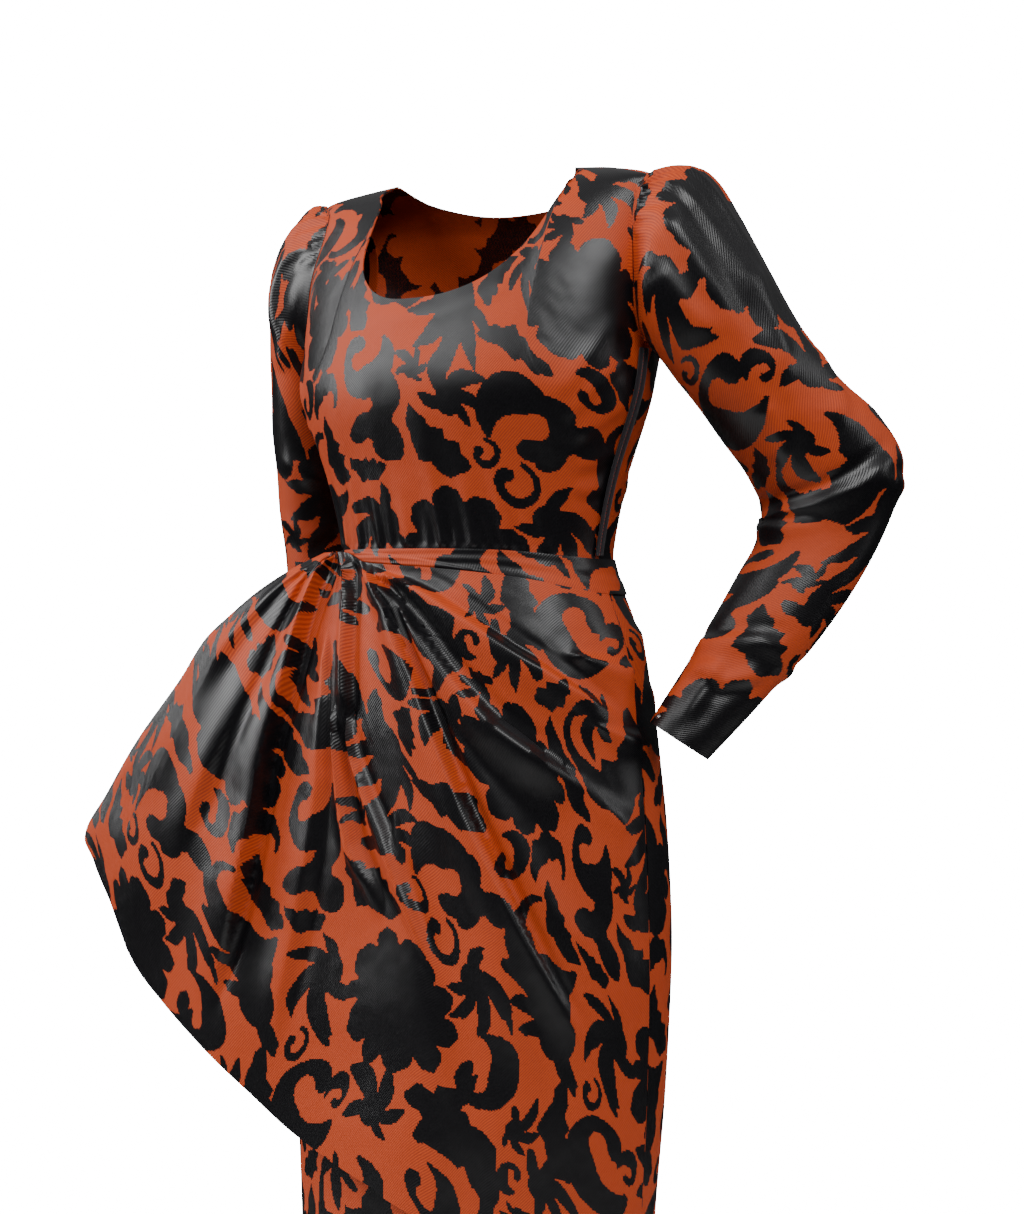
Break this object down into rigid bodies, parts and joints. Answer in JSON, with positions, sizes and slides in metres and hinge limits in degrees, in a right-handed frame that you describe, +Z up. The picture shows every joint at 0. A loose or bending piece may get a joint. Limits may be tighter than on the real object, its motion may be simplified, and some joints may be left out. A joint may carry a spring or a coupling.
{
  "type": "dinner dress",
  "caption": "Long-sleeved draped dinner dress in worn form, hollow, with a U neck, gathered waist, waist sash and a stiff overskirt wing standing out over the right hip.",
  "frame": {"origin": "midway between the two neck points of the shoulder seams, at shoulder height, where the wearer's shoulders hold it up", "axes": "+Z up, -Y to the wearer's front, +X to the wearer's left"},
  "size_m": [0.7274, 0.3635, 1.1],
  "materials": {
    "brocade": "rust satin twill figured with large black satin flowers and scrolls, soft sheen",
    "black_satin": "black satin with a soft sheen",
    "snap_metal": "small plain metal snap"
  },
  "bodies": {
    "root": {"bodice_front": "brocade", "bodice_back": "brocade", "sleeve_left": "brocade", "sleeve_right": "brocade", "waist_sash": "brocade", "skirt_front": "brocade", "skirt_back": "brocade", "drape": "brocade", "side_placket": "black_satin", "cuff_snap": "snap_metal"}
  },
  "joints": []
}
